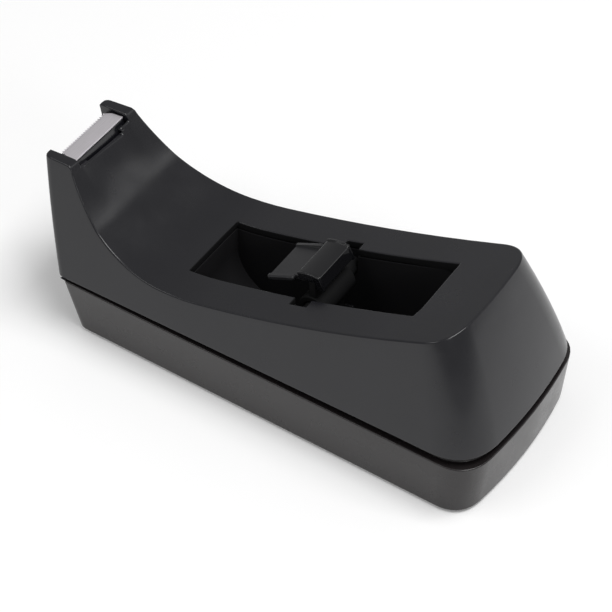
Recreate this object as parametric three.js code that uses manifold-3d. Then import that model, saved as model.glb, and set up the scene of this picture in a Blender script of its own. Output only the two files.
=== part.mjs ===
// Desk tape dispenser: a weighted base tray, a hollow upper shell whose top surface sweeps up to the
// cutter, a deep well for the tape roll, and a lift-out hub that spins in two notches of the well.
// Millimetres. +X runs from the cutter to the fat rear end, +Z is up, and the XZ plane is the mirror
// plane. The origin is on the desk under the middle of the object.
import * as THREE from 'three';
import { mergeVertices } from 'three/addons/utils/BufferGeometryUtils.js';
import Module from 'manifold-3d';

// ---------------------------------------------------------------- driving dimensions
const GAP = 0.3; // clearance between neighbouring pieces
const WALL = 2.4; // moulded wall of the shell
const CAVITY_TOP = 43.5; // the nose under the cutter is solid above this
const CAVITY_FRONT_END = -50;
const BEYOND = 40; // half length that takes a cut clear of the whole object

// feet and tray
const TRAY_BOTTOM = 1.0; // underside of the tray: the pad lifts it off the desk
const TRAY_TOP_FRONT = 18.9; // top edge of the tray's outer wall, falling slightly to the rear
const TRAY_TOP_REAR = 17.8;
const TRAY_WALL = 4.3;
const TRAY_FLOOR = 3.4; // top face of the tray's floor
const LIP_TOP = 24.5; // top of the spigot that stands inside the shell
const LIP_INSET = WALL + GAP;
const PAD_INSET = 3.0; // margin of the tray left around the pad
const PAD_TOP = 1.5;

// shell
const SHELL_BOTTOM_FRONT = 19.5; // the dark reveal above the tray is wider at the rear
const SHELL_BOTTOM_REAR = 20.3;
const FOOT_Z = 19.2; // height at which the front, rear and corner sizes of the shell are given
const CHEEK_TOP = 54.8; // top of the two cheeks beside the cutter
const DECK_HIGH = 55.2; // height at which the rear and corner sizes reach their upper values
const FRONT_X = -67.95; // front face at the foot of the shell
const FRONT_LEAN = 0.247; // forward lean of the front face, mm per mm of height
const REAR_X = 76.15; // rear face on the mirror plane, at the foot of the shell
const DRAFT = 0.252; // inward lean of the side walls, mm per mm of height
const TAPER = 0.0555; // widening of each side towards the rear, mm per mm of length
const HALF_WIDTH = 33.49; // half width that the side wall's plane has at x = 0, z = 0

// deck: three tangent arcs, seen from the side
const WAIST_X = -32.0; // lowest point of the deck
const WAIST_Z = 30.3;
const FRONT_ARC_R = 37.6; // sweep up to the cutter
const WAIST_ARC_R = 70.0; // short blend behind the waist
const WAIST_ARC_TURN = 10.5; // degrees
const RAMP_ARC_R = 450.0; // long ramp up to the rear
const RAMP_ARC_TURN = 11.5; // degrees

// roll well
const WELL_FRONT = -29.5;
const WELL_REAR = 44.0;
const WELL_HALF = 12.5;
const WELL_FLOOR = 5.7;
const TUB_WALL = 1.5;
const TUB_CORNER = 15.0; // radius of the well's lower corners
const NOTCH_HALF_LENGTH = 15.7; // the axle notches reach this far out from the mirror plane
const NOTCH_R = 2.6;
const BEARING_HALF = 4.6; // half width of the thick wall round each notch
const BEARING_LONG = 4.4;

// hub
const HUB_X = 8.8;
const HUB_Z = 30.3;
const HUB_HALF = 8.5;
const CROWN_R = 12.4; // fits a one inch core
const CROWN_THICK = 1.8;
const CROWN_FRONT_TURN = 113; // degrees round the axis, where the arch meets the leaf
const CROWN_REAR_TURN = 80; // where the arch turns down into its flange
const FLANGE_FOOT_X = 3.7; // lower end of the flange, from the axis
const FLANGE_FOOT_Z = 8.4;
const SLEEVE_R = 4.4;
const WEB_HALF = 1.1;
const RIM_PROUD = 0.35; // end rims stand this far off the crown
const AXLE_R = 2.3;
const RIM_WIDE = 0.8;
const FIN_HALF = 11; // the web reaches this far above and below the axis
const LEAF_THICK = 1.1;
const LEAF_LONG = 13.2;
const LEAF_LEAN = 22.6; // degrees
const LEAF_TIP_X = -14.8; // free end of the leaf, from the axis
const LEAF_TIP_Z = 5.3;
const BEAD = 0.5; // raised edge of the leaf

// cutter
const BLADE_THICK = 0.5;
const BLADE_BACK_X = -68.1;
const BLADE_FOLD_X = -71.8;
const BLADE_TOOTH_ROOT_X = -73.2;
const BLADE_TOOTH_DEPTH = 0.9;
const BLADE_Z = 53.3; // underside of the blade's flat
const TEETH = 21;
const POCKET_HALF = 12.2; // half the space between the cheeks
const NOSE_TOP = 50.5; // top of the front wall between the cheeks
const DIP_DEPTH = 1.1; // the deck's dip between the cheeks
const HOLDER_REST_X = -73.1; // rear of the front wall, where the holder stands
const POCKET_FLOOR = 45.0;
const GROOVE_X = -66.8; // rear wall of the groove behind the holder
const RIM_X = -66.1; // where the deck starts behind the groove
const RIB_TOP = 49.8;
const RIB_HALF = 7.6;
const EAR_Y = 9.4; // the holder's two clip ears
const EAR_HALF = 1.2;
const BLADE_HALF = 11.8;
const TOOTH_ROW_HALF = 10.8;
const BLADE_DROOP = 0.08; // fall of the blade in front of its fold, mm per mm

// closure screws, driven from below
const SCREW_SITES = [
  { name: 'screw_front_near', x: -51, y: -14.5 },
  { name: 'screw_front_far', x: -51, y: 14.5 },
  { name: 'screw_rear_near', x: 61, y: -23.0 },
  { name: 'screw_rear_far', x: 61, y: 23.0 },
];
const POST_R = 3.6;
const POST_SPLIT = 14.0; // the tray's posts end here and the shell's posts begin
const SCREW_SEAT = 5.0;
const SCREW_R = 1.45;
const SCREW_TIP = 23.0;
const SCREW_HEAD_R = 2.8;
const SCREW_HEAD_THICK = 1.8;
const RECESS_LONG = 1.6;
const RECESS_HALF_WIDE = 0.4;
const POST_EXTRA = 0.6; // the tray's posts are this much thicker than the shell's

// ---------------------------------------------------------------- boolean helpers
const wasm = await Module();
wasm.setup();

function solid(geometry) {
  const bare = geometry.clone();
  bare.deleteAttribute('normal');
  bare.deleteAttribute('uv');
  const merged = mergeVertices(bare, 1e-4);
  return new wasm.Manifold(new wasm.Mesh({
    numProp: 3,
    vertProperties: new Float32Array(merged.attributes.position.array),
    triVerts: new Uint32Array(merged.index.array),
  }));
}

function geometryOf(body) {
  const mesh = body.getMesh();
  const geometry = new THREE.BufferGeometry();
  geometry.setAttribute('position', new THREE.BufferAttribute(new Float32Array(mesh.vertProperties), 3));
  geometry.setIndex(new THREE.BufferAttribute(new Uint32Array(mesh.triVerts), 1));
  geometry.computeVertexNormals();
  return geometry;
}

function box(x0, x1, y0, y1, z0, z1) {
  const geometry = new THREE.BoxGeometry(x1 - x0, y1 - y0, z1 - z0);
  geometry.translate((x0 + x1) / 2, (y0 + y1) / 2, (z0 + z1) / 2);
  return solid(geometry);
}

function uprightCylinder(x, y, z0, z1, radius, segments = 28) {
  const geometry = new THREE.CylinderGeometry(radius, radius, z1 - z0, segments);
  geometry.rotateX(Math.PI / 2);
  geometry.translate(x, y, (z0 + z1) / 2);
  return solid(geometry);
}

function crosswiseCylinder(x, z, halfLength, radius, segments = 32) {
  const geometry = new THREE.CylinderGeometry(radius, radius, 2 * halfLength, segments);
  geometry.translate(x, 0, z);
  return solid(geometry);
}

// A side view outline (x, z) pushed out across the object from y0 to y1.
function sideSlab(points, y0, y1) {
  const shape = new THREE.Shape(points);
  const geometry = new THREE.ExtrudeGeometry(shape, { depth: y1 - y0, bevelEnabled: false });
  geometry.rotateX(Math.PI / 2);
  geometry.translate(0, y1, 0);
  return solid(geometry);
}

function solidSide(points, half) {
  return sideSlab(points, -half, half);
}

// A plan outline that changes with height: outlineAt(z) always gives the same number of points.
function loft(outlineAt, z0, z1, steps = 1) {
  const start = outlineAt(z0);
  const shape = new THREE.Shape(start);
  const geometry = new THREE.ExtrudeGeometry(shape, { depth: 1, steps, bevelEnabled: false });
  const position = geometry.attributes.position;
  for (let i = 0; i < position.count; i += 1) {
    const x = position.getX(i);
    const y = position.getY(i);
    const corner = start.findIndex((p) => Math.hypot(p.x - x, p.y - y) < 1e-3);
    const z = z0 + position.getZ(i) * (z1 - z0);
    const moved = outlineAt(z)[corner];
    position.setXYZ(i, moved.x, moved.y, z);
  }
  return solid(geometry);
}

const mix = (a, b, t) => a + (b - a) * t;
const vec = (x, y) => new THREE.Vector2(x, y);

// ---------------------------------------------------------------- outlines seen from above
// Half of a plan outline, mirrored: a straight front, a straight tapering side, a bowed rear and
// rounded corners. The bow is x = rearX - bow * y * y.
function planOutline({ frontX, rearX, bow, halfAt, frontCorner, rearCorner, inset }) {
  const front = frontX + inset;
  const side = (x) => halfAt(x) - inset;
  const rear = (y) => rearX - inset - bow * y * y;
  const frontR = Math.max(frontCorner - inset, 0.6);
  const rearR = Math.max(rearCorner - inset, 3.0);
  let cornerY = side(rearX);
  for (let i = 0; i < 6; i += 1) {
    cornerY = side(rear(cornerY));
  }
  const frontCurve = new THREE.QuadraticBezierCurve(
    vec(front, side(front) - frontR),
    vec(front, side(front)),
    vec(front + frontR, side(front + frontR)),
  );
  const cornerX = rear(cornerY);
  const rearCurve = new THREE.QuadraticBezierCurve(
    vec(cornerX - rearR, side(cornerX - rearR)),
    vec(cornerX, cornerY),
    vec(rear(cornerY - rearR), cornerY - rearR),
  );
  const far = [...frontCurve.getPoints(4), ...rearCurve.getPoints(9)];
  const bowSteps = 4;
  for (let i = 1; i < bowSteps; i += 1) {
    const y = (cornerY - rearR) * (1 - i / bowSteps);
    far.push(vec(rear(y), y));
  }
  const near = far.map((p) => vec(p.x, -p.y)).reverse();
  return [...far, vec(rear(0), 0), ...near];
}

function shellOutline(z, inset = 0) {
  const rise = (z - FOOT_Z) / (DECK_HIGH - FOOT_Z);
  const swell = 4 * rise * (1 - rise);
  return planOutline({
    frontX: FRONT_X - FRONT_LEAN * (z - FOOT_Z) - 0.5 * swell,
    rearX: REAR_X - 14.7 * rise + 1.4 * swell,
    bow: mix(0.0028, 0.0037, rise),
    halfAt: (x) => HALF_WIDTH + TAPER * x - DRAFT * z,
    frontCorner: 2.0,
    rearCorner: mix(13.0, 10.0, rise),
    inset,
  });
}

function trayOutline(z, inset = 0) {
  const rise = (z - TRAY_BOTTOM) / (FOOT_Z - TRAY_BOTTOM);
  return planOutline({
    frontX: mix(-62.7, -66.9, rise),
    rearX: mix(74.4, REAR_X, rise),
    bow: mix(0.0032, 0.0028, rise),
    halfAt: (x) => mix(27.43 + 0.0655 * x, 28.65 + TAPER * x, rise),
    frontCorner: 2.5,
    rearCorner: mix(8.5, 10.0, rise),
    inset,
  });
}

// ---------------------------------------------------------------- deck seen from the side
const radians = THREE.MathUtils.degToRad;

// Points of the deck from the cutter to the rear, at a depth below the visible surface.
function deckLine(depth) {
  const frontR = FRONT_ARC_R + depth;
  const topZ = CHEEK_TOP - 0.6;
  const startAngle = Math.PI + Math.asin((WAIST_Z + FRONT_ARC_R - topZ) / frontR);
  const sweep = new THREE.Path();
  sweep.absarc(WAIST_X, WAIST_Z + FRONT_ARC_R, frontR, startAngle, 1.5 * Math.PI, false);
  const down = -Math.PI / 2;
  const blendTurn = radians(WAIST_ARC_TURN);
  const blend = new THREE.Path();
  blend.absarc(WAIST_X, WAIST_Z + WAIST_ARC_R, WAIST_ARC_R + depth, down, down + blendTurn, false);
  const joinX = WAIST_X + WAIST_ARC_R * Math.sin(blendTurn);
  const joinZ = WAIST_Z + WAIST_ARC_R * (1 - Math.cos(blendTurn));
  const rampX = joinX - RAMP_ARC_R * Math.sin(blendTurn);
  const rampZ = joinZ + RAMP_ARC_R * Math.cos(blendTurn);
  const ramp = new THREE.Path();
  const rampStart = down + blendTurn;
  const rampEnd = rampStart + radians(RAMP_ARC_TURN);
  ramp.absarc(rampX, rampZ, RAMP_ARC_R + depth, rampStart, rampEnd, false);
  return [
    ...sweep.getPoints(16),
    ...blend.getPoints(3).slice(1),
    ...ramp.getPoints(8).slice(1),
  ];
}

// Everything below the deck, with the cheek tops, the slightly rising lower edge and the small step
// at the foot of the front face.
function shellSilhouette() {
  return [
    vec(-90, SHELL_BOTTOM_FRONT + 1.7),
    vec(-68.0, SHELL_BOTTOM_FRONT + 1.7),
    vec(-66.9, SHELL_BOTTOM_FRONT + 0.9),
    vec(-66.8, SHELL_BOTTOM_FRONT),
    vec(85, SHELL_BOTTOM_REAR),
    ...deckLine(0).reverse(),
    vec(-67.9, CHEEK_TOP - 0.1),
    vec(-75.9, CHEEK_TOP),
    vec(-76.5, CHEEK_TOP - 0.5),
    vec(-90, CHEEK_TOP - 0.5),
  ];
}

// The space under the deck at a depth below its surface.
function underDeck(depth) {
  const line = deckLine(depth);
  return [vec(line[0].x, 0), vec(90, 0), ...line.reverse()];
}

// ---------------------------------------------------------------- pieces
function closurePosts(z0, z1, radius) {
  return SCREW_SITES.map((site) => uprightCylinder(site.x, site.y, z0, z1, radius));
}

function upperShell() {
  const skin = loft((z) => shellOutline(z), 18, 57, 10).intersect(solidSide(shellSilhouette(), BEYOND));
  const cavity = loft((z) => shellOutline(z, WALL), 17, 57, 10)
    .intersect(solidSide(underDeck(WALL), BEYOND))
    .subtract(box(-90, CAVITY_FRONT_END, -BEYOND, BEYOND, CAVITY_TOP, 60));
  let shell = skin.subtract(cavity);
  for (const post of closurePosts(POST_SPLIT + GAP, 60, POST_R)) {
    const trimmed = post.intersect(loft((z) => shellOutline(z, 1.0), 10, 57, 10));
    shell = shell.add(trimmed.intersect(solidSide(underDeck(1.0), BEYOND)));
  }
  for (const bore of closurePosts(POST_SPLIT - 1, SCREW_TIP + 2, SCREW_R + GAP)) {
    shell = shell.subtract(bore);
  }
  shell = shell.subtract(box(WELL_FRONT, WELL_REAR, -WELL_HALF, WELL_HALF, 10, 80));
  shell = shell.subtract(notchBox(10)).subtract(holderPocket()).subtract(cheekDip());
  return shell.add(restRib());
}

// Slot for the axle ends, open upwards.
function notchBox(z0) {
  return box(HUB_X - NOTCH_R, HUB_X + NOTCH_R, -NOTCH_HALF_LENGTH, NOTCH_HALF_LENGTH, z0, 80);
}

// Room between the cheeks for the blade holder.
function holderPocket() {
  const open = [
    vec(-90, NOSE_TOP),
    vec(HOLDER_REST_X, NOSE_TOP),
    vec(HOLDER_REST_X, POCKET_FLOOR),
    vec(GROOVE_X, POCKET_FLOOR),
    vec(GROOVE_X, RIB_TOP - 0.6),
    vec(RIM_X, RIB_TOP - 0.6),
    vec(RIM_X, 60),
    vec(-90, 60),
  ];
  return solidSide(open, POCKET_HALF);
}

// Between the cheeks the deck dips a little below the crease and fades back to it lower down.
function cheekDip() {
  const turns = 10;
  const points = [];
  for (let i = 0; i <= turns; i += 1) {
    const angle = radians(mix(198, 228, i / turns));
    const r = FRONT_ARC_R + DIP_DEPTH * (1 - i / turns) ** 1.5 - 0.12 * (i / turns);
    points.push(vec(WAIST_X + r * Math.cos(angle), WAIST_Z + FRONT_ARC_R + r * Math.sin(angle)));
  }
  return solidSide([...points, vec(-50, 45), vec(-50, 60)], POCKET_HALF);
}

// A short rib that runs across the top of the dip, behind the groove at the holder.
function restRib() {
  const section = [
    vec(GROOVE_X, 44),
    vec(-64.8, 46),
    vec(-65.2, 48.6),
    vec(RIM_X, RIB_TOP),
    vec(GROOVE_X, RIB_TOP),
  ];
  return solidSide(section, RIB_HALF);
}

function bladeHolder() {
  const block = [
    vec(HOLDER_REST_X + GAP, POCKET_FLOOR + GAP),
    vec(GROOVE_X - GAP, POCKET_FLOOR + GAP),
    vec(GROOVE_X - GAP, 49.9),
    vec(-68.2, BLADE_Z - GAP),
    vec(-73.4, BLADE_Z - GAP - 0.1),
    vec(-74.3, BLADE_Z - GAP - 0.7),
    vec(-74.4, NOSE_TOP + GAP),
    vec(HOLDER_REST_X + GAP, NOSE_TOP + GAP),
  ];
  let holder = solidSide(block, POCKET_HALF - GAP);
  for (const side of [-1, 1]) {
    const y = side * EAR_Y;
    const ear = box(-68.0, RIM_X - 0.2, y - EAR_HALF, y + EAR_HALF, 49.5, 50.8);
    holder = holder.add(ear);
  }
  return holder;
}

// A thin strip with a row of fine teeth, folded very slightly down in front of the fold line.
function cutterBlade() {
  const pitch = (2 * TOOTH_ROW_HALF) / TEETH;
  const outline = [
    vec(BLADE_BACK_X, -BLADE_HALF),
    vec(BLADE_BACK_X, BLADE_HALF),
    vec(BLADE_FOLD_X, BLADE_HALF - GAP),
    vec(BLADE_TOOTH_ROOT_X, TOOTH_ROW_HALF),
  ];
  for (let i = 0; i < TEETH; i += 1) {
    const y = TOOTH_ROW_HALF - pitch * i;
    outline.push(vec(BLADE_TOOTH_ROOT_X - BLADE_TOOTH_DEPTH, y - pitch / 2));
    outline.push(vec(BLADE_TOOTH_ROOT_X, y - pitch));
  }
  outline.push(vec(BLADE_FOLD_X, GAP - BLADE_HALF));
  const shape = new THREE.Shape(outline);
  const geometry = new THREE.ExtrudeGeometry(shape, { depth: BLADE_THICK, bevelEnabled: false });
  const position = geometry.attributes.position;
  for (let i = 0; i < position.count; i += 1) {
    const past = Math.max(0, BLADE_FOLD_X - position.getX(i));
    position.setZ(i, position.getZ(i) + BLADE_Z - BLADE_DROOP * past);
  }
  return solid(geometry);
}

// Side view of the well: vertical ends and large lower corners that follow the roll.
function tubOutline(grow) {
  const shape = new THREE.Path();
  const r = TUB_CORNER + grow;
  const x0 = WELL_FRONT - grow;
  const x1 = WELL_REAR + grow;
  const z0 = WELL_FLOOR - grow;
  shape.moveTo(x1, 80);
  shape.lineTo(x0, 80);
  shape.absarc(x0 + r, z0 + r, r, Math.PI, 1.5 * Math.PI, false);
  shape.absarc(x1 - r, z0 + r, r, -0.5 * Math.PI, 0, false);
  return shape.getPoints(8);
}

function rollWell() {
  const under = solidSide(underDeck(WALL + GAP), BEYOND);
  let tub = solidSide(tubOutline(TUB_WALL), WELL_HALF + TUB_WALL);
  const flange = solidSide(underDeck(WALL + GAP), 17.6)
    .subtract(solidSide(underDeck(WALL + GAP + 1.3), BEYOND))
    .intersect(box(WELL_FRONT - 3.6, WELL_REAR + 3.6, -20, 20, 0, 80));
  tub = tub.add(flange);
  for (const side of [-1, 1]) {
    const middle = side * (WELL_HALF + 0.5 + BEARING_LONG / 2);
    const y0 = middle - BEARING_LONG / 2;
    tub = tub.add(box(HUB_X - BEARING_HALF, HUB_X + BEARING_HALF, y0, y0 + BEARING_LONG, 22, 60));
  }
  return tub
    .intersect(under)
    .subtract(solidSide(tubOutline(0), WELL_HALF))
    .subtract(notchBox(HUB_Z))
    .subtract(crosswiseCylinder(HUB_X, HUB_Z, NOTCH_HALF_LENGTH, NOTCH_R));
}

function baseTray() {
  const topEdge = [vec(-90, 0), vec(90, 0), vec(90, TRAY_TOP_REAR), vec(-90, TRAY_TOP_FRONT)];
  const outside = loft((z) => trayOutline(z), TRAY_BOTTOM, FOOT_Z + 1, 2)
    .intersect(solidSide(topEdge, BEYOND));
  const spigot = loft((z) => shellOutline(z, LIP_INSET), 16, LIP_TOP, 2);
  const cavity = loft((z) => trayOutline(z, TRAY_WALL), TRAY_FLOOR, LIP_TOP + 2, 2);
  let tray = outside.add(spigot).subtract(cavity);
  for (const post of closurePosts(TRAY_BOTTOM, POST_SPLIT, POST_R + POST_EXTRA)) {
    tray = tray.add(post);
  }
  const padRoom = loft((z) => trayOutline(z, PAD_INSET), TRAY_BOTTOM - 1, PAD_TOP + GAP);
  tray = tray.subtract(padRoom);
  for (const bore of closurePosts(-1, POST_SPLIT + 1, SCREW_R + GAP)) {
    tray = tray.subtract(bore);
  }
  for (const sink of closurePosts(-1, SCREW_SEAT, SCREW_HEAD_R + GAP)) {
    tray = tray.subtract(sink);
  }
  return tray;
}

function nonSkidPad() {
  let pad = loft((z) => trayOutline(TRAY_BOTTOM, PAD_INSET + GAP), 0, PAD_TOP);
  for (const hole of closurePosts(-1, 3, SCREW_HEAD_R + 0.9)) {
    pad = pad.subtract(hole);
  }
  return pad;
}

function postRoom() {
  return closurePosts(0, 60, POST_R + POST_EXTRA + 0.5);
}

function frontBallast() {
  let block = box(-56, -34.5, -17, 17, TRAY_FLOOR + GAP, 17.5);
  for (const room of postRoom()) {
    block = block.subtract(room);
  }
  return block;
}

function rearBallast() {
  const profile = [
    vec(48.6, TRAY_FLOOR + GAP),
    vec(69.0, TRAY_FLOOR + GAP),
    vec(68.0, 20),
    vec(59.0, 42),
    vec(48.6, 40),
  ];
  let block = solidSide(profile, 19.0);
  for (const room of postRoom()) {
    block = block.subtract(room);
  }
  return block;
}

function recess(site, halfX, halfY, z0, z1) {
  return box(site.x - halfX, site.x + halfX, site.y - halfY, site.y + halfY, z0, z1);
}

// Self-tapping screw with a pan head and a cross recess, head down.
function closureScrew(site) {
  const headTop = SCREW_SEAT - GAP;
  const profile = [
    vec(0, headTop - SCREW_HEAD_THICK),
    vec(SCREW_HEAD_R * 0.62, headTop - SCREW_HEAD_THICK),
    vec(SCREW_HEAD_R * 0.92, headTop - SCREW_HEAD_THICK * 0.66),
    vec(SCREW_HEAD_R, headTop),
    vec(SCREW_R, headTop),
    vec(SCREW_R, SCREW_TIP - 2.4),
    vec(0, SCREW_TIP),
  ];
  const geometry = new THREE.LatheGeometry(profile, 24);
  geometry.rotateX(Math.PI / 2);
  geometry.translate(site.x, site.y, 0);
  const z0 = headTop - SCREW_HEAD_THICK - 1;
  const z1 = headTop - SCREW_HEAD_THICK + 1.1;
  return solid(geometry)
    .subtract(recess(site, RECESS_LONG, RECESS_HALF_WIDE, z0, z1))
    .subtract(recess(site, RECESS_HALF_WIDE, RECESS_LONG, z0, z1));
}

// ---------------------------------------------------------------- hub
// Side view of one crown: an arched plate with a flange that slopes down at its rear end.
function crownOutline(grow) {
  const front = radians(CROWN_FRONT_TURN);
  const outer = new THREE.Path();
  outer.absarc(0, 0, CROWN_R + grow, radians(CROWN_REAR_TURN), front, false);
  const inner = new THREE.Path();
  inner.absarc(0, 0, CROWN_R - CROWN_THICK - grow, front, radians(CROWN_REAR_TURN + 3), true);
  return [
    ...outer.getPoints(8),
    ...inner.getPoints(6),
    vec(FLANGE_FOOT_X - CROWN_THICK - grow, FLANGE_FOOT_Z - grow),
    vec(FLANGE_FOOT_X + grow, FLANGE_FOOT_Z - grow),
    vec(FLANGE_FOOT_X + grow, FLANGE_FOOT_Z + 0.5),
  ];
}

function atHub(body) {
  return body.translate([HUB_X, 0, HUB_Z]);
}

function hubCore() {
  let core = solid(new THREE.CylinderGeometry(SLEEVE_R, SLEEVE_R, 2 * HUB_HALF, 32));
  core = core.add(box(-WEB_HALF, WEB_HALF, -HUB_HALF, HUB_HALF, -FIN_HALF, FIN_HALF));
  let crown = solidSide(crownOutline(0), HUB_HALF);
  for (const side of [-1, 1]) {
    const y0 = Math.min(side * HUB_HALF, side * (HUB_HALF - RIM_WIDE));
    crown = crown.add(sideSlab(crownOutline(RIM_PROUD), y0, y0 + RIM_WIDE));
  }
  core = core.add(crown).add(crown.rotate([0, 180, 0]));
  return atHub(core.subtract(crosswiseCylinder(0, 0, 20, AXLE_R + GAP)));
}

// A flat springy leaf with a raised rim along each side, rooted under the upper crown.
function hubLeaf() {
  const leaf = new THREE.BoxGeometry(LEAF_LONG, 2 * HUB_HALF, LEAF_THICK);
  leaf.translate(LEAF_LONG / 2, 0, -LEAF_THICK / 2);
  let body = solid(leaf);
  const beadLong = LEAF_LONG - 4.5;
  for (const side of [-1, 1]) {
    const bead = new THREE.BoxGeometry(beadLong, 2 * BEAD, BEAD + LEAF_THICK);
    bead.translate(beadLong / 2, side * (HUB_HALF - BEAD), (BEAD - LEAF_THICK) / 2);
    body = body.add(solid(bead));
  }
  const rootThick = 1.6;
  const rootDeep = 5.5;
  const root = new THREE.BoxGeometry(rootThick, 2 * HUB_HALF - 3, rootDeep);
  root.translate(LEAF_LONG - rootThick / 2, 0, -rootDeep / 2);
  body = body.add(solid(root)).rotate([0, -LEAF_LEAN, 0]).translate([LEAF_TIP_X, 0, LEAF_TIP_Z]);
  body = body
    .subtract(solidSide(crownOutline(RIM_PROUD + GAP), 20))
    .subtract(box(-WEB_HALF - GAP, 20, -20, 20, -20, 20))
    .subtract(crosswiseCylinder(0, 0, 20, SLEEVE_R + GAP));
  return atHub(body);
}

function hubAxle() {
  return crosswiseCylinder(HUB_X, HUB_Z, NOTCH_HALF_LENGTH - GAP, AXLE_R);
}

// ---------------------------------------------------------------- materials and assembly
function paint(color, roughness, metalness) {
  return new THREE.MeshStandardMaterial({ color, roughness, metalness });
}

const shellPlastic = paint('#35353a', 0.5, 0.0);
const wellPlastic = paint('#1a1a1c', 0.6, 0.0);
const trayPlastic = paint('#4a4646', 0.5, 0.0);
const hubPlastic = paint('#2c2c30', 0.2, 0.0);
const leafPlastic = paint('#3a3a3c', 0.45, 0.0);
const stainless = paint('#b9b4b9', 0.3, 0.9);
const axlePlastic = paint('#161618', 0.5, 0.0);
const zincSteel = paint('#a8a9a6', 0.4, 0.8);
const castIron = paint('#3c3c3e', 0.8, 0.6);
const foamRubber = paint('#232323', 0.95, 0.0);

const group = new THREE.Group();

function place(name, body, material) {
  const mesh = new THREE.Mesh(geometryOf(body), material);
  mesh.name = name;
  group.add(mesh);
}

place('upper_shell', upperShell(), shellPlastic);
place('roll_well', rollWell(), wellPlastic);
place('base_tray', baseTray(), trayPlastic);
place('non_skid_pad', nonSkidPad(), foamRubber);
place('ballast_front', frontBallast(), castIron);
place('ballast_rear', rearBallast(), castIron);
place('blade_holder', bladeHolder(), shellPlastic);
place('cutter_blade', cutterBlade(), stainless);
place('hub_axle', hubAxle(), axlePlastic);
place('hub_core', hubCore(), hubPlastic);
place('hub_leaf', hubLeaf(), leafPlastic);
for (const site of SCREW_SITES) {
  place(site.name, closureScrew(site), zincSteel);
}

export default group;
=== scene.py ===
# %% [markdown]
# A desk tape dispenser, piece by piece. The moving frame of the object is loaded first. Everything made
# below is placed in its metres and rides on one of its bodies, so that it stays right at every pose.
# %% The frame
import math

import bmesh
import bpy
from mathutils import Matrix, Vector


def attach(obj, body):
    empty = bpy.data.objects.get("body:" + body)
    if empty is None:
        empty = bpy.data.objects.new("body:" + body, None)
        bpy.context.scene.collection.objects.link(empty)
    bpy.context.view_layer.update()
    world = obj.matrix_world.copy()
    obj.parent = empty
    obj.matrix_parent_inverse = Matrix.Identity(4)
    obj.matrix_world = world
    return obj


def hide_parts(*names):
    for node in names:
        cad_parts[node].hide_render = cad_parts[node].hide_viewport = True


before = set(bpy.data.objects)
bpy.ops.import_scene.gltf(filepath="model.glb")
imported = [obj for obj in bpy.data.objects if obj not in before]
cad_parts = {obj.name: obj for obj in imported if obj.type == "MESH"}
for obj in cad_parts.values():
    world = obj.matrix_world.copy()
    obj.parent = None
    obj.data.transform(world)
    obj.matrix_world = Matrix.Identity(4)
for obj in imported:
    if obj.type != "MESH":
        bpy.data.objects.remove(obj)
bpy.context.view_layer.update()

MM = 0.001
WELD = 0.002  # points nearer than this, in mm, are one point


# %% [markdown]
# The two big mouldings are drafted: their walls lean, so that they leave the mould. Such a shape can be
# carved from a block, but it is easier to draw its plan at any height and to stack the plans. This cell
# is that plan: half of it, in millimetres, from the front middle round to the rear middle.
# %% Plan of the shell
CORNER_STEPS = 12
NOSE_STEPS = 4
BOW_STEPS = 4
FOOT = 19.2
SHELL_HEIGHT = 36.0
SHELL_WALL = 2.4


def mix(a, b, t):
    return a + (b - a) * t


def quadratic(a, b, c, steps):
    shares = [i / steps for i in range(steps + 1)]
    return [a * (1 - t) ** 2 + b * 2 * t * (1 - t) + c * t * t for t in shares]


def plan(front, rear, bow, half, nose_round, tail_round, inset):
    """Nose corner, side line and tail corner of a plan whose rear end bows outwards."""
    front += inset
    side = lambda x: half(x) - inset
    end = lambda y: rear - inset - bow * y * y
    nose_round = max(nose_round - inset, 0.6)
    tail_round = max(tail_round - inset, 3.0)
    y = side(rear)
    for _ in range(6):
        y = side(end(y))
    x = end(y)
    nose = quadratic(
        Vector((front, side(front) - nose_round)),
        Vector((front, side(front))),
        Vector((front + nose_round, side(front + nose_round))),
        NOSE_STEPS,
    )
    tail = quadratic(
        Vector((x - tail_round, side(x - tail_round))),
        Vector((x, y)),
        Vector((end(y - tail_round), y - tail_round)),
        CORNER_STEPS,
    )
    for i in range(1, BOW_STEPS + 1):
        across = (y - tail_round) * (1 - i / BOW_STEPS)
        tail.append(Vector((end(across), across)))
    return nose, side, tail


def shell_plan(z, inset=0.0):
    rise = (z - FOOT) / SHELL_HEIGHT
    swell = 4 * rise * (1 - rise)
    return plan(
        front=-67.95 - 0.247 * (z - FOOT) - 0.5 * swell,
        rear=76.15 - 14.7 * rise + 1.4 * swell,
        bow=mix(0.0028, 0.0037, rise),
        half=lambda x: 33.49 + 0.0555 * x - 0.252 * z,
        nose_round=2.0,
        tail_round=mix(13.0, 10.0, rise),
        inset=inset,
    )


# %% [markdown]
# Seen from the side, the deck is three arcs that flow into each other: a tight sweep up to the cutter,
# a short blend behind the waist and a long ramp. The height of the deck at any x comes from them.
# %% Line of the deck
WAIST_X, WAIST_Z = -32.0, 30.3
SWEEP_R, BLEND_R, RAMP_R = 37.6, 70.0, 450.0
BLEND_TURN = math.radians(10.5)
JOIN_X = WAIST_X + BLEND_R * math.sin(BLEND_TURN)
JOIN_Z = WAIST_Z + BLEND_R * (1 - math.cos(BLEND_TURN))
ARCS = (
    (WAIST_X, WAIST_Z + SWEEP_R, SWEEP_R),
    (WAIST_X, WAIST_Z + BLEND_R, BLEND_R),
    (JOIN_X - RAMP_R * math.sin(BLEND_TURN), JOIN_Z + RAMP_R * math.cos(BLEND_TURN), RAMP_R),
)


def deck_height(x, depth=0.0):
    """Height of the deck at x, or of a surface that lies a depth below it."""
    centre_x, centre_z, radius = ARCS[0 if x < WAIST_X else 1 if x < JOIN_X else 2]
    reach = (radius + depth) ** 2 - (x - centre_x) ** 2
    return centre_z - math.sqrt(reach) if reach > 0 else centre_z


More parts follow.
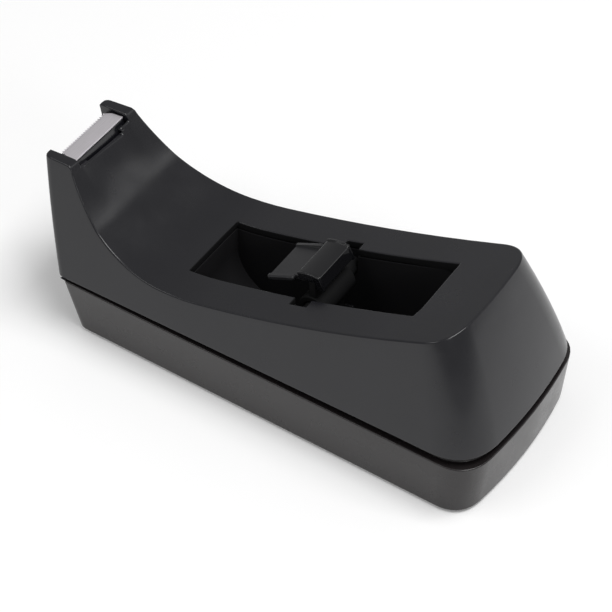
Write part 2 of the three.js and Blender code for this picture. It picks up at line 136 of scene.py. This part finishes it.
# %% [markdown]
# The next helper is how most pieces here are made. A ring of points is the start. The ring is extruded
# and put on the next ring's places, again and again, which grows a skin without a single loose face.
# A number on every vertex remembers its place in the ring, because an extrusion copies it.
# %% Growing a skin ring by ring
def grow_skin(bm, rings):
    """Stacks closed rings of equal length, in mm. Returns the rings as lists of vertices."""
    place = bm.verts.layers.int.get("place") or bm.verts.layers.int.new("place")
    first = [bm.verts.new(Vector(p) * MM) for p in rings[0]]
    for i, vert in enumerate(first):
        vert[place] = i
    edges = [bm.edges.new(pair) for pair in zip(first, first[1:] + first[:1])]
    grown = [first]
    for ring in rings[1:]:
        made = bmesh.ops.extrude_edge_only(bm, edges=edges)["geom"]
        verts = {e for e in made if isinstance(e, bmesh.types.BMVert)}
        edges = [e for e in made if isinstance(e, bmesh.types.BMEdge) and set(e.verts) <= verts]
        for vert in verts:
            vert.co = Vector(ring[vert[place]]) * MM
        grown.append(sorted(verts, key=lambda v: v[place]))
    return grown


def edges_along(bm, verts, closed=False):
    followers = verts[1:] + (verts[:1] if closed else [])
    found = [bm.edges.get(pair) for pair in zip(verts, followers)]
    return [edge for edge in found if edge]


def close_ring(bm, verts):
    return bmesh.ops.contextual_create(bm, geom=edges_along(bm, verts, closed=True))["faces"]


def finish_piece(name, bm, body, nodes, finishes, width=0.3, angle=35, segments=3, leave=None):
    """Faces outwards, sharp edges rounded except those to leave, and the piece put on its body."""
    bmesh.ops.remove_doubles(bm, verts=bm.verts, dist=WELD * MM)
    bmesh.ops.recalc_face_normals(bm, faces=bm.faces)
    rounding = bm.edges.layers.float.new("bevel_weight_edge")
    for edge in bm.edges:
        sharp = len(edge.link_faces) == 2 and edge.calc_face_angle(0.0) > math.radians(angle)
        left = sharp and leave is not None and leave((edge.verts[0].co + edge.verts[1].co) / 2 / MM)
        edge[rounding] = float(sharp and not left)
        edge.smooth = not left
    mesh = bpy.data.meshes.new(name)
    for finish in finishes:
        mesh.materials.append(finish)
    bm.to_mesh(mesh)
    open_edges = sum(1 for e in bm.edges if len(e.link_faces) != 2)
    bm.free()
    for face in mesh.polygons:
        face.use_smooth = True
    piece = bpy.data.objects.new(name, mesh)
    bpy.context.scene.collection.objects.link(piece)
    soften(piece, width, None, segments)
    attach(piece, body)
    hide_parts(*nodes)
    print(name, "faces:", len(mesh.polygons), "edges left open:", open_edges)


def soften(piece, width, angle, segments=3):
    """Every moulded or pressed edge is a little round, and that is where it catches the light."""
    if width:
        edge = piece.modifiers.new("edge rounding", "BEVEL")
        edge.width = width * MM
        edge.segments = segments
        edge.profile = 0.5
        edge.limit_method = "ANGLE" if angle else "WEIGHT"
        edge.angle_limit = math.radians(angle or 30)
        edge.use_clamp_overlap = False
    even = piece.modifiers.new("even shading", "WEIGHTED_NORMAL")
    even.mode = "FACE_AREA"
    even.keep_sharp = True


def cut(bm, here, point, normal):
    """Cuts the faces whose middle passes the test, along a plane."""
    faces = [f for f in bm.faces if here(f.calc_center_median() / MM, f)]
    geom = {*faces, *(e for f in faces for e in f.edges), *(v for f in faces for v in f.verts)}
    bmesh.ops.bisect_plane(
        bm, geom=list(geom), dist=0.001 * MM, plane_co=Vector(point) * MM, plane_no=Vector(normal)
    )


# %% [markdown]
# Plastic, as it really is: a black base that is never quite even, a fine spark-eroded grain that breaks
# up the gloss, and small rubbed places. All of it reads Object coordinates, so it stays on the piece.
# %% Finishes: plastic and rubber
def new_finish(name):
    finish = bpy.data.materials.new(name)
    finish.use_nodes = True
    tree = finish.node_tree
    place = tree.nodes.new("ShaderNodeTexCoord").outputs["Object"]
    return finish, tree, tree.nodes["Principled BSDF"], place


def noise(tree, place, size, detail=2.0, stretch=None):
    """A noise whose lumps are about size mm."""
    texture = tree.nodes.new("ShaderNodeTexNoise")
    texture.inputs["Scale"].default_value = 1.0 / (size * MM)
    texture.inputs["Detail"].default_value = detail
    if stretch:
        mapping = tree.nodes.new("ShaderNodeMapping")
        mapping.inputs["Scale"].default_value = stretch
        tree.links.new(place, mapping.inputs["Vector"])
        place = mapping.outputs["Vector"]
    tree.links.new(place, texture.inputs["Vector"])
    return texture.outputs["Fac"]


def spread(tree, source, low, high, start=0.3, stop=0.7):
    """Stretches a noise to run from low to high."""
    band = tree.nodes.new("ShaderNodeMapRange")
    band.inputs["From Min"].default_value = start
    band.inputs["From Max"].default_value = stop
    band.inputs["To Min"].default_value = low
    band.inputs["To Max"].default_value = high
    tree.links.new(source, band.inputs["Value"])
    return band.outputs["Result"]


def tint(tree, share, dark, light):
    blend = tree.nodes.new("ShaderNodeMix")
    blend.data_type = "RGBA"
    blend.inputs["A"].default_value = (*dark, 1)
    blend.inputs["B"].default_value = (*light, 1)
    tree.links.new(share, blend.inputs["Factor"])
    return blend.outputs["Result"]


def raise_bumps(tree, height, depth, strength=1.0):
    bump = tree.nodes.new("ShaderNodeBump")
    bump.inputs["Distance"].default_value = depth * MM
    bump.inputs["Strength"].default_value = strength
    tree.links.new(height, bump.inputs["Height"])
    return bump.outputs["Normal"]


def plastic(name, colour, roughness, grain, grain_size=0.3, swing=0.04, specular=0.5):
    finish, tree, shader, place = new_finish(name)
    clouds = noise(tree, place, 22.0, 5.0)
    paler = [c * 1.18 for c in colour]
    tree.links.new(tint(tree, spread(tree, clouds, 0, 1), colour, paler), shader.inputs["Base Color"])
    rubbed = spread(tree, noise(tree, place, 9.0, 6.0), roughness - swing, roughness + swing)
    tree.links.new(rubbed, shader.inputs["Roughness"])
    sparks = noise(tree, place, grain_size, 3.0)
    tree.links.new(raise_bumps(tree, sparks, grain), shader.inputs["Normal"])
    shader.inputs["Specular IOR Level"].default_value = specular
    return finish


shell_black = plastic("shell satin black", (0.0078, 0.0078, 0.0100), 0.24, 0.005)
tray_black = plastic("tray warm black", (0.0120, 0.0100, 0.0104), 0.27, 0.004)
# Painted shade: the well gets a duller black with less sheen than the shell, so the hollow reads as the
# even shade inside it.
well_shade_black = plastic("well dull black painted shade", (0.0135, 0.0132, 0.0142), 0.60, 0.006, specular=0.10)
# Painted shade: a dead black with almost no sheen, for faces that lie in shade: the wall of the well's
# opening, the hub near its axis and the axle.
painted_shade_black = plastic("dead black painted shade", (0.0100, 0.0100, 0.0104), 0.65, 0.006, specular=0.05)
hub_black = plastic("hub gloss black", (0.0060, 0.0060, 0.0070), 0.10, 0.004, 2.4, 0.03)
leaf_black = plastic("leaf matt black", (0.0120, 0.0120, 0.0135), 0.42, 0.006)
pad_black = plastic("pad foam rubber", (0.0120, 0.0120, 0.0125), 0.85, 0.08, 0.8)


# %% [markdown]
# Metal: rolled blade strip has fine lines along its length, zinc on a screw is cloudy, and cast iron is
# rough all over. Only the direction and the size of the noise change.
# %% Finishes: metal
def metal(name, dark, light, roughness, swing, size, grain, stretch=None):
    finish, tree, shader, place = new_finish(name)
    lines = noise(tree, place, size, 4.0, stretch)
    tree.links.new(tint(tree, spread(tree, lines, 0, 1), dark, light), shader.inputs["Base Color"])
    smoother = spread(tree, lines, roughness + swing, roughness - swing)
    tree.links.new(smoother, shader.inputs["Roughness"])
    tree.links.new(raise_bumps(tree, lines, grain), shader.inputs["Normal"])
    shader.inputs["Metallic"].default_value = 1.0
    return finish


ALONG_THE_BLADE = (1.0, 0.06, 1.0)
blade_steel = metal(
    "blade rolled steel", (0.86, 0.82, 0.86), (0.96, 0.93, 0.96), 0.44, 0.07, 0.35, 0.002, ALONG_THE_BLADE
)
zinc = metal("screw zinc", (0.36, 0.36, 0.34), (0.55, 0.55, 0.52), 0.38, 0.08, 1.2, 0.004)
iron = metal("ballast cast iron", (0.030, 0.028, 0.027), (0.075, 0.068, 0.062), 0.68, 0.12, 1.1, 0.12)

# %% [markdown]
# The upper shell is the biggest piece and the one that is seen first. It could be carved with booleans,
# which leave ragged faces along a long soft edge. Here its skin is grown in rings instead: down the
# inside from the cavity's ceiling, out under the foot, and up the outside to the crease. The deck is
# then bridged across from side to side.
# %% Upper shell: rings
CHEEK_TOP = 54.8
CAVITY_TOP = 43.5
LAST_SIDE_X = 50.0
FREE_X = -56.0
RING_SHARES = (0.0, 0.15, 0.3, 0.45, 0.6, 0.75, 0.9, 1.0)
SWEEP_STEPS = 22
SWEEP_TOP = 54.2

top_angle = math.asin((WAIST_Z + SWEEP_R - SWEEP_TOP) / SWEEP_R)
sweep = [mix(top_angle, math.pi / 2, i / SWEEP_STEPS) for i in range(SWEEP_STEPS + 1)]
stations = [-74.2, -71.5, -69.4, -67.9]
stations += [WAIST_X - SWEEP_R * math.cos(a) for a in sweep]
stations += [mix(WAIST_X, JOIN_X, i / 3) for i in (1, 2, 3)]
stations += [mix(JOIN_X, LAST_SIDE_X, i / 8) for i in range(1, 9)]


def shell_foot(x):
    return mix(19.5, 20.5, (x + 90) / 175)


def shell_ring(share, inset, cap):
    """The ring round the shell at a share of the way from its foot to its crease."""
    nose_top = shell_plan(cap, inset)[0][-1].x
    half_ring = []
    for i in range(NOSE_STEPS + 1):
        z = mix(shell_foot(-68), cap, share)
        half_ring.append((*shell_plan(z, inset)[0][i], z))
    for x in stations:
        z = mix(shell_foot(x), min(deck_height(x, inset), cap), share)
        nose, side, _ = shell_plan(z, inset)
        if x < FREE_X:
            x = FREE_X + (x - FREE_X) * (nose[-1].x - FREE_X) / (nose_top - FREE_X)
        half_ring.append((x, side(x), z))
    for i in range(CORNER_STEPS + BOW_STEPS + 1):
        top = 50.0
        for _ in range(8):
            top = deck_height(shell_plan(top, inset)[2][i].x, inset)
        point = shell_plan(top, inset)[2][i]
        z = mix(shell_foot(point.x), top, share)
        half_ring.append((*shell_plan(z, inset)[2][i], z))
    return half_ring + [(x, -y, z) for x, y, z in reversed(half_ring[:-1])]


bm = bmesh.new()
deck = bm.faces.layers.int.new("deck")
skin = grow_skin(
    bm,
    [shell_ring(s, SHELL_WALL, CAVITY_TOP) for s in reversed(RING_SHARES)]
    + [shell_ring(s, 0.0, CHEEK_TOP) for s in RING_SHARES],
)
print("shell: rings", len(skin), "points in a ring", len(skin[0]))


# %% [markdown]
# Each deck is three patches: the rows between the two sides, and the rounded ends.
# %% Upper shell: decks
def lay_deck(bm, ring, mark):
    first, last = NOSE_STEPS + 1, NOSE_STEPS + len(stations)
    far = ring[first : last + 1]
    near = [ring[-i] for i in range(first, last + 1)]
    faces = bmesh.ops.bridge_loops(bm, edges=edges_along(bm, far) + edges_along(bm, near))["faces"]
    faces += close_ring(bm, ring[: first + 1] + ring[-first:])
    faces += close_ring(bm, ring[last : len(ring) - last + 1])
    for face in faces:
        face[deck] = mark


lay_deck(bm, skin[0], 1)
lay_deck(bm, skin[-1], 2)

# %% [markdown]
# The well and its two axle notches are cut through both decks along straight planes. The loose middle
# is deleted, and the two outlines are bridged to give the opening its wall. That wall is painted shade:
# dead black.
# %% Upper shell: opening for the roll
WELL = (-29.5, 44.0, 12.5)
NOTCH = (6.2, 11.4, 15.7)
CUT_REACH = 9

in_well = lambda c, f: f[deck] > 0 and WELL[0] < c.x < WELL[1]
in_notch = lambda c, f: f[deck] > 0 and NOTCH[0] < c.x < NOTCH[1]
for x in (*WELL[:2], *NOTCH[:2]):
    near_well = lambda c, f: f[deck] > 0 and WELL[0] - CUT_REACH < c.x < WELL[1] + CUT_REACH
    cut(bm, near_well, (x, 0, 0), (1, 0, 0))
for side in (-1, 1):
    cut(bm, in_well, (0, side * WELL[2], 0), (0, 1, 0))
    cut(bm, in_notch, (0, side * NOTCH[2], 0), (0, 1, 0))
inside = [
    f for f in bm.faces
    for c in [f.calc_center_median() / MM]
    if (in_well(c, f) and abs(c.y) < WELL[2]) or (in_notch(c, f) and abs(c.y) < NOTCH[2])
]
bmesh.ops.delete(bm, geom=inside, context="FACES")
rims = [e for e in bm.edges if e.is_boundary]
throat = bmesh.ops.bridge_loops(bm, edges=rims)["faces"]
# Painted shade: the wall of the opening is the shell's own plastic, painted dead black.
for face in throat:
    face.material_index = 1
print("faces in the throat of the well:", len(throat))

# %% [markdown]
# Between the two cheeks the deck sinks a little, and fades back to its own level lower down. Moving the
# deck's points along the radius of the sweep keeps it smooth. A few cuts first give it points to move.
# %% Upper shell: dip between the cheeks
POCKET_HALF = 12.2
DIP = 0.9
DIP_ENDS = -55.0
DIP_FADE = 11.5
REAR_OF_POCKET = -66.1
DIP_CUTS = (POCKET_HALF, 11.4, 10.6, 9.8, 9.0, 8.2, 7.6, 6.0, 3.0)
MARGIN = 0.01

in_dip = lambda c, f: f[deck] == 2 and c.x < DIP_ENDS + 3
for y in DIP_CUTS:
    for side in (-1, 1):
        cut(bm, in_dip, (0, side * y, 0), (0, 1, 0))
cut(bm, in_dip, (REAR_OF_POCKET, 0, 0), (1, 0, 0))


def smooth_step(t):
    t = max(0.0, min(1.0, t))
    return t * t * (3 - 2 * t)


for vert in {v for f in bm.faces if in_dip(f.calc_center_median() / MM, f) for v in f.verts}:
    x, y, z = vert.co / MM
    if REAR_OF_POCKET - MARGIN < x < DIP_ENDS and abs(y) < POCKET_HALF - MARGIN:
        along = smooth_step((DIP_ENDS - x) / DIP_FADE)
        across = 1.0 - (y / POCKET_HALF) ** 2
        outward = Vector((x - WAIST_X, 0, z - WAIST_Z - SWEEP_R)).normalized()
        vert.co += outward * DIP * along * across * MM

# %% [markdown]
# The cutter's holder sits in a pocket between the cheeks. The deck and the top of the front wall are
# taken away there. The back edge is then extruded down a groove, forward and up again, like folding
# paper, and a ledge and the two cheek walls close the pocket.
# %% Upper shell: pocket for the cutter
NOSE_TOP = 50.5
POCKET_FLOOR, POCKET_TOP = 45.0, 54.0
GROOVE_X = -66.8
HOLDER_REST_X = -73.1
FRONT_WALL_X, FRONT_WALL_HALF, FRONT_WALL_FOOT = -69.0, 14.0, 44.0
NOSE_CAVITY_X = -60.0
ALL_SATIN_X = -50.0  # in front of this every face is the shell's own black

in_front_wall = lambda c, f: (
    c.x < FRONT_WALL_X and abs(c.y) < FRONT_WALL_HALF and c.z > FRONT_WALL_FOOT and f[deck] == 0
)
cut(bm, in_front_wall, (0, 0, NOSE_TOP), (0, 0, 1))
for side in (-1, 1):
    cut(bm, lambda c, f: in_front_wall(c, f) and c.z > NOSE_TOP, (0, side * POCKET_HALF, 0), (0, 1, 0))
gone = [
    f for f in bm.faces
    for c in [f.calc_center_median() / MM]
    if abs(c.y) < POCKET_HALF
    and ((f[deck] == 2 and c.x < REAR_OF_POCKET) or (in_front_wall(c, f) and c.z > NOSE_TOP))
]
bmesh.ops.delete(bm, geom=gone, context="FACES")
rim = [e for e in bm.edges if e.is_boundary and abs(e.verts[0].co.y - e.verts[1].co.y) > 0.1 * MM]
middle_of_pocket = (REAR_OF_POCKET + HOLDER_REST_X) / 2 * MM
back = [e for e in rim if e.verts[0].co.x > middle_of_pocket]
front = [e for e in rim if e.verts[0].co.x < middle_of_pocket]
print("pocket rim:", len(rim), "back:", len(back), "front:", len(front))
FOLDS = (
    (GROOVE_X, None),
    (GROOVE_X, POCKET_FLOOR),
    (HOLDER_REST_X, POCKET_FLOOR),
    (HOLDER_REST_X, NOSE_TOP),
)
for x, z in FOLDS:
    made = bmesh.ops.extrude_edge_only(bm, edges=back)["geom"]
    verts = {e for e in made if isinstance(e, bmesh.types.BMVert)}
    back = [e for e in made if isinstance(e, bmesh.types.BMEdge) and set(e.verts) <= verts]
    for vert in verts:
        vert.co.x = x * MM
        if z:
            vert.co.z = z * MM
ledge = []
for side in (-1, 1):
    corners = []
    for row in (back, front):
        ends = {v for e in row for v in e.verts}
        corners.append(max(ends, key=lambda v: side * v.co.y))
    ledge.append(bm.edges.new(corners))
bmesh.ops.contextual_create(bm, geom=back + front + ledge)
bmesh.ops.holes_fill(bm, edges=[e for e in bm.edges if e.is_boundary], sides=0)
for face in bm.faces:
    if face.calc_center_median().x < ALL_SATIN_X * MM:
        face.material_index = 0
in_pocket = lambda c: c.x < GROOVE_X + 0.1 and abs(c.y) < POCKET_HALF + 0.1 and c.z < POCKET_TOP
in_nose_cavity = lambda c: c.x < NOSE_CAVITY_X and abs(c.z - CAVITY_TOP) < 0.1
finish_piece(
    "upper_shell_moulding", bm, "housing", ["upper_shell"],
    [shell_black, painted_shade_black], width=0.45, leave=lambda c: in_nose_cavity(c) or in_pocket(c),
)

# %% [markdown]
# The blade holder is a small block with a sloping back, made by sweeping its side view across. Two
# small ears at its back reach over the groove.
# %% Blade holder
def sweep_across(bm, outline, half):
    """A side view (x, z) in mm swept across from -half to half, closed at both ends."""
    rings = grow_skin(bm, [[(x, y, z) for x, z in outline] for y in (-half, half)])
    close_ring(bm, rings[0])
    close_ring(bm, rings[-1])


bm = bmesh.new()
BLADE_Z = 53.3
GAP = 0.3
HOLDER_BACK_X, HOLDER_FOOT_X = GROOVE_X - GAP, HOLDER_REST_X + GAP
HOLDER_SIDE = [
    (HOLDER_FOOT_X, POCKET_FLOOR + GAP),
    (HOLDER_BACK_X, POCKET_FLOOR + GAP),
    (HOLDER_BACK_X, 49.9),
    (-68.2, BLADE_Z - GAP),
    (-73.4, BLADE_Z - GAP - 0.1),
    (-74.3, BLADE_Z - GAP - 0.7),
    (-74.4, NOSE_TOP + GAP),
    (HOLDER_FOOT_X, NOSE_TOP + GAP),
]
sweep_across(bm, HOLDER_SIDE, POCKET_HALF - GAP)
EAR_AT = (-67.0, 9.4, 51.0)
EAR_SIZE = (2.0, 2.4, 1.8)
for side in (-1, 1):
    made = bmesh.ops.create_cube(bm, size=MM)["verts"]
    bmesh.ops.scale(bm, verts=made, vec=EAR_SIZE)
    bmesh.ops.translate(bm, verts=made, vec=Vector((EAR_AT[0], side * EAR_AT[1], EAR_AT[2])) * MM)
finish_piece(
    "blade_holder_block", bm, "housing", ["blade_holder"], [shell_black], 0.25
)

# %% [markdown]
# The blade is a strip of spring steel with a row of fine teeth. A flat grid gets two columns for each
# tooth, every other point of its front row is pulled back, and the sheet is given its thickness.
# %% Blade
TEETH = 21
TOOTH_HALF = 10.8
BLADE_THICK = 0.5
BLADE_FOLD_X = -71.8
BLADE_DROOP = 0.08
BLADE_ROWS = (
    (-68.1, 11.8),
    (-68.45, 11.8),
    (BLADE_FOLD_X, 11.5),
    (-73.2, TOOTH_HALF),
    (-74.1, TOOTH_HALF),
)
bm = bmesh.new()
columns = 2 * TEETH
grid = bmesh.ops.create_grid(bm, x_segments=len(BLADE_ROWS) - 1, y_segments=columns, size=1.0)["verts"]
for vert in grid:
    row = round((1 - vert.co.x) / 2 * (len(BLADE_ROWS) - 1))
    column = round((vert.co.y + 1) / 2 * columns)
    x, half = BLADE_ROWS[row]
    if row == len(BLADE_ROWS) - 1 and column % 2 == 0:
        x = BLADE_ROWS[-2][0] - 0.02
    bend = max(0.0, BLADE_FOLD_X - x)
    vert.co = Vector((x, half * (2 * column / columns - 1), BLADE_Z - BLADE_DROOP * bend)) * MM
made = bmesh.ops.extrude_face_region(bm, geom=bm.faces[:])["geom"]
lifted = [e for e in made if isinstance(e, bmesh.types.BMVert)]
bmesh.ops.translate(bm, verts=lifted, vec=(0, 0, BLADE_THICK * MM))
finish_piece(
    "cutter_blade_strip", bm, "housing", ["cutter_blade"], [blade_steel], 0.06, 50, 2
)

# %% [markdown]
# The hub's crown is an arched plate with a flange that turns down behind it, and a proud rim at each
# end. Its side view is drawn round the hub's axis, and the rims are the same outline, a little larger.
# A twin of it, half a turn round, hangs below. A web joins both to the sleeve that turns on the axle.
# %% Hub core
HUB_X, HUB_Z, HUB_HALF = 8.8, 30.3, 8.5
CROWN_R, CROWN_THICK, RIM_PROUD, RIM_WIDE = 12.4, 1.8, 0.35, 0.8
FRONT_TURN, REAR_TURN = 113, 80
FLANGE_FOOT_X, FLANGE_FOOT_Z = 3.7, 8.4
SLEEVE_R, AXLE_R, WEB_HALF = 4.4, 2.3, 1.1
WEB_ROOT, WEB_TIP = 3.5, 11.0
PAINTED_SHADE_WITHIN = 8.0  # the hub is painted dead black nearer to its axis than this, as painted shade under the crown


def arc(radius, start, end, steps):
    turns = [math.radians(mix(start, end, i / steps)) for i in range(steps + 1)]
    return [(radius * math.cos(t), radius * math.sin(t)) for t in turns]


def crown(grow):
    outline = arc(CROWN_R + grow, REAR_TURN, FRONT_TURN, 14)
    outline += arc(CROWN_R - CROWN_THICK - grow, FRONT_TURN, REAR_TURN + 3, 10)
    return outline + [
        (FLANGE_FOOT_X - CROWN_THICK - grow, FLANGE_FOOT_Z - grow),
        (FLANGE_FOOT_X + grow, FLANGE_FOOT_Z - grow),
        (FLANGE_FOOT_X + grow, FLANGE_FOOT_Z + 0.5),
    ]


bm = bmesh.new()
sections = ((-HUB_HALF, RIM_PROUD), (RIM_WIDE - HUB_HALF, RIM_PROUD), (RIM_WIDE - HUB_HALF, 0.0))
sections += tuple((-y, grow) for y, grow in reversed(sections))
for flip in (1, -1):
    rings = [[(HUB_X + flip * x, y, HUB_Z + flip * z) for x, z in crown(grow)] for y, grow in sections]
    skin = grow_skin(bm, rings)
    close_ring(bm, skin[0])
    close_ring(bm, skin[-1])
BORE_R = AXLE_R + GAP
SLEEVE_RINGS = (
    (BORE_R, HUB_HALF),
    (SLEEVE_R, HUB_HALF),
    (SLEEVE_R, -HUB_HALF),
    (BORE_R, -HUB_HALF),
)
sleeve = [
    [(HUB_X + x, y, HUB_Z + z) for x, z in arc(radius, 0, 360, 40)[:-1]] for radius, y in SLEEVE_RINGS
]
skin = grow_skin(bm, sleeve)
bmesh.ops.bridge_loops(bm, edges=edges_along(bm, skin[0], True) + edges_along(bm, skin[-1], True))
for flip in (1, -1):
    web = [
        (HUB_X + across * WEB_HALF, HUB_Z + flip * z)
        for across, z in ((-1, WEB_ROOT), (1, WEB_ROOT), (1, WEB_TIP), (-1, WEB_TIP))
    ]
    sweep_across(bm, web, HUB_HALF - 0.4)
# Painted shade: the sleeve and the inner web are the same gloss moulding as the crown, painted dead black
# where they lie in shade.
for face in bm.faces:
    from_axis = face.calc_center_median() / MM - Vector((HUB_X, 0, HUB_Z))
    face.material_index = int(math.hypot(from_axis.x, from_axis.z) < PAINTED_SHADE_WITHIN)
finish_piece(
    "hub_core_moulding", bm, "hub", ["hub_core"],
    [hub_black, painted_shade_black], 0.32, 35, 4,
)

# %% [markdown]
# The leaf is a springy flat tongue with a raised bead along each side. It is swept like the crown. The
# beads stop short of the crown, and the panel between them sinks to pass under it.
# %% Hub leaf
LEAF_LONG, BEAD_LONG, LEAF_THICK, BEAD, PANEL_SINK = 12.4, 9.4, 1.1, 0.5, 0.9
LEAF_TIP_X, LEAF_TIP_Z = HUB_X - 14.8, HUB_Z + 5.3
lean = math.radians(22.6)


def leaf(grow):
    """Side view of the leaf, drawn level from its tip and then leaned."""
    sunk, long = (0.0, BEAD_LONG) if grow else (PANEL_SINK, LEAF_LONG)
    level = [
        (0.25, grow),
        (long - 0.4, grow - sunk),
        (long, -sunk),
        (long, -LEAF_THICK - sunk),
        (0.25, -LEAF_THICK),
        (0.0, -LEAF_THICK / 2),
    ]
    return [
        (
            LEAF_TIP_X + s * math.cos(lean) - t * math.sin(lean),
            LEAF_TIP_Z + s * math.sin(lean) + t * math.cos(lean),
        )
        for s, t in level
    ]


bm = bmesh.new()
leaf_sections = ((-HUB_HALF, BEAD), (-7.1, BEAD), (-6.8, 0.0))
leaf_sections += tuple((-y, grow) for y, grow in reversed(leaf_sections))
skin = grow_skin(bm, [[(x, y, z) for x, z in leaf(grow)] for y, grow in leaf_sections])
close_ring(bm, skin[0])
close_ring(bm, skin[-1])
finish_piece(
    "hub_leaf_tongue", bm, "hub", ["hub_leaf"], [leaf_black],
    0.5, segments=5, leave=lambda c: abs(c.y) < HUB_HALF - 0.1,
)

# %% [markdown]
# The other pieces keep their imported shape. Their meshes are loose triangles, so a modifier welds them,
# another clears the flat faces, and the edges are rounded as on the new pieces.
# %% Pieces that keep their shape
# Painted shade: the roll well and the axle, down in the hollow, take the two painted-shade blacks.
KEPT = {
    "base_tray": (tray_black, 0.4), "roll_well": (well_shade_black, 0.08), "non_skid_pad": (pad_black, 0.3),
    "ballast_front": (iron, 0.8), "ballast_rear": (iron, 0.8), "hub_axle": (painted_shade_black, 0.25),
}
for name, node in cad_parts.items():
    if node.hide_render:
        continue
    finish, width = KEPT.get(name, (zinc, 0.12))
    node.data.materials.clear()
    node.data.materials.append(finish)
    for face in node.data.polygons:
        face.use_smooth = True
    weld = node.modifiers.new("weld", "WELD")
    weld.merge_threshold = WELD * MM
    flat = node.modifiers.new("clear flats", "DECIMATE")
    flat.decimate_type = "DISSOLVE"
    flat.angle_limit = math.radians(0.6)
    soften(node, width, 40)
    print("kept:", name)

# %% [markdown]
# The room: a white table with a faint glow, a dim grey surround and four soft boxes. Black plastic
# shows little colour of its own, so what it mirrors draws its shape. The big box lights the table and
# the creases from above, and the three smaller ones are there for its sides and edges to mirror.
# %% Room
bm = bmesh.new()
bmesh.ops.create_grid(bm, x_segments=1, y_segments=1, size=3.0)
floor_mesh = bpy.data.meshes.new("table_top")
bm.to_mesh(floor_mesh)
bm.free()
floor = bpy.data.objects.new("table_top", floor_mesh)
bpy.context.scene.collection.objects.link(floor)
paint, tree, shader, place = new_finish("table paint")
shader.inputs["Base Color"].default_value = (0.92, 0.92, 0.92, 1)
shader.inputs["Roughness"].default_value = 0.9
shader.inputs["Specular IOR Level"].default_value = 0.1
shader.inputs["Emission Color"].default_value = (1, 1, 1, 1)
shader.inputs["Emission Strength"].default_value = 0.10
floor.data.materials.append(paint)

world = bpy.data.worlds.new("studio")
bpy.context.scene.world = world
world.use_nodes = True
world.node_tree.nodes["Background"].inputs["Color"].default_value = (1, 1, 1, 1)
world.node_tree.nodes["Background"].inputs["Strength"].default_value = 0.36


def soft_box(name, at, width, height, power):
    light = bpy.data.lights.new(name, "AREA")
    light.shape = "RECTANGLE"
    light.size, light.size_y = width, height
    light.energy = power
    lamp = bpy.data.objects.new(name, light)
    lamp.location = at
    lamp.rotation_euler = (-Vector(at)).to_track_quat("-Z", "Y").to_euler()
    bpy.context.scene.collection.objects.link(lamp)


soft_box("top_box", (0.50, 0.05, 1.45), 1.0, 0.6, 14.5)
soft_box("far_box", (0.80, 0.80, 0.66), 0.30, 0.30, 0.35)
soft_box("near_box", (-0.50, -0.60, 1.05), 0.80, 0.22, 2.0)
soft_box("right_box", (0.87, -0.56, 0.64), 0.22, 0.22, 1.0)
bpy.context.scene.view_settings.view_transform = "Standard"

# %% [markdown]
# A long lens from well above the near rear corner keeps the object's lines almost parallel.
# %% Camera
camera_data = bpy.data.cameras.new("camera")
camera_data.lens = 152.07
camera_data.sensor_width = 36.0
camera = bpy.data.objects.new("camera", camera_data)
camera.location = (0.28809, -0.46592, 0.52184)
camera.rotation_euler = Vector((-0.38632, 0.62869, -0.67491)).to_track_quat("-Z", "Y").to_euler()
bpy.context.scene.collection.objects.link(camera)
bpy.context.scene.camera = camera
